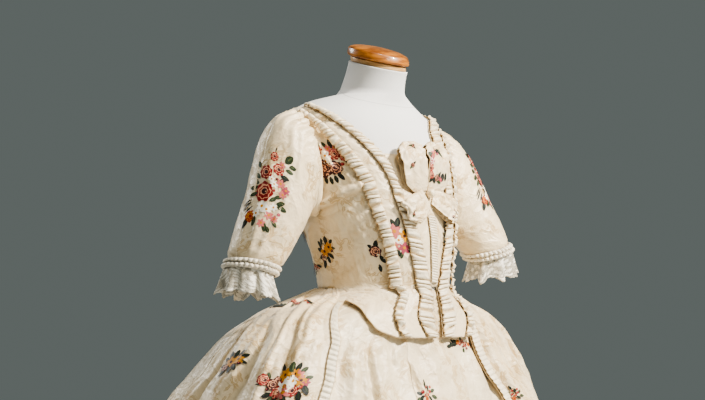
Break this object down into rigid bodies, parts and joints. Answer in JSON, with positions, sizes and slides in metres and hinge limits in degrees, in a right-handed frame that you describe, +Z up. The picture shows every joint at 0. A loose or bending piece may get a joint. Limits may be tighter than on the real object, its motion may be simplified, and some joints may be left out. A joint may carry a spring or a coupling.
{
  "type": "english gown on a dress form",
  "caption": "Eighteenth-century English gown of brocaded ivory silk with robings, bows, elbow sleeves and a petticoat, on a limbless dress form.",
  "frame": {"origin": "middle of the flat underside of the stand's base, on the floor", "axes": "+Z up, -Y towards the front of the gown, +X towards the wearer's left"},
  "size_m": [1.1395, 0.9518, 1.4785],
  "materials": {
    "ivory_silk": "ivory silk brocade, tone-on-tone leaves and small flower sprigs",
    "ruffle_silk": "ivory silk with ochre pinked edges, pleated",
    "lace": "cream floral lace, gaps about 3 mm",
    "form_cloth": "white linen stretched over the form, matt",
    "cap_wood": "orange-brown varnished, glossy",
    "ring_wood": "pale wood, satin",
    "stand_iron": "black painted, satin"
  },
  "bodies": {
    "root": {"bodice_back_left": "ivory_silk", "bodice_back_right": "ivory_silk", "bodice_front_left": "ivory_silk", "bodice_front_right": "ivory_silk", "bow_knot": "ivory_silk", "bow_lower_left": "ivory_silk", "bow_lower_right": "ivory_silk", "bow_upper_left": "ivory_silk", "bow_upper_right": "ivory_silk", "flap_left": "ivory_silk", "flap_right": "ivory_silk", "form_neck_cap": "cap_wood", "form_neck_ring": "ring_wood", "form_torso": "form_cloth", "lace_left": "lace", "lace_right": "lace", "overskirt_back_left": "ivory_silk", "overskirt_back_right": "ivory_silk", "overskirt_front_left": "ivory_silk", "overskirt_front_right": "ivory_silk", "overskirt_side_left": "ivory_silk", "overskirt_side_right": "ivory_silk", "petticoat_back_left": "ivory_silk", "petticoat_back_right": "ivory_silk", "petticoat_front_left": "ivory_silk", "petticoat_front_right": "ivory_silk", "petticoat_left": "ivory_silk", "petticoat_right": "ivory_silk", "robing_left": "ivory_silk", "robing_right": "ivory_silk", "ruffle_inner_left": "ruffle_silk", "ruffle_inner_right": "ruffle_silk", "ruffle_outer_left": "ruffle_silk", "ruffle_outer_right": "ruffle_silk", "skirt_trim_left": "ruffle_silk", "skirt_trim_right": "ruffle_silk", "sleeve_band_left": "ivory_silk", "sleeve_band_right": "ivory_silk", "sleeve_left_back": "ivory_silk", "sleeve_left_front": "ivory_silk", "sleeve_right_back": "ivory_silk", "sleeve_right_front": "ivory_silk", "stand_base": "stand_iron", "stand_pole": "stand_iron", "stomacher": "ivory_silk", "stomacher_ruching": "ivory_silk"}
  },
  "joints": []
}
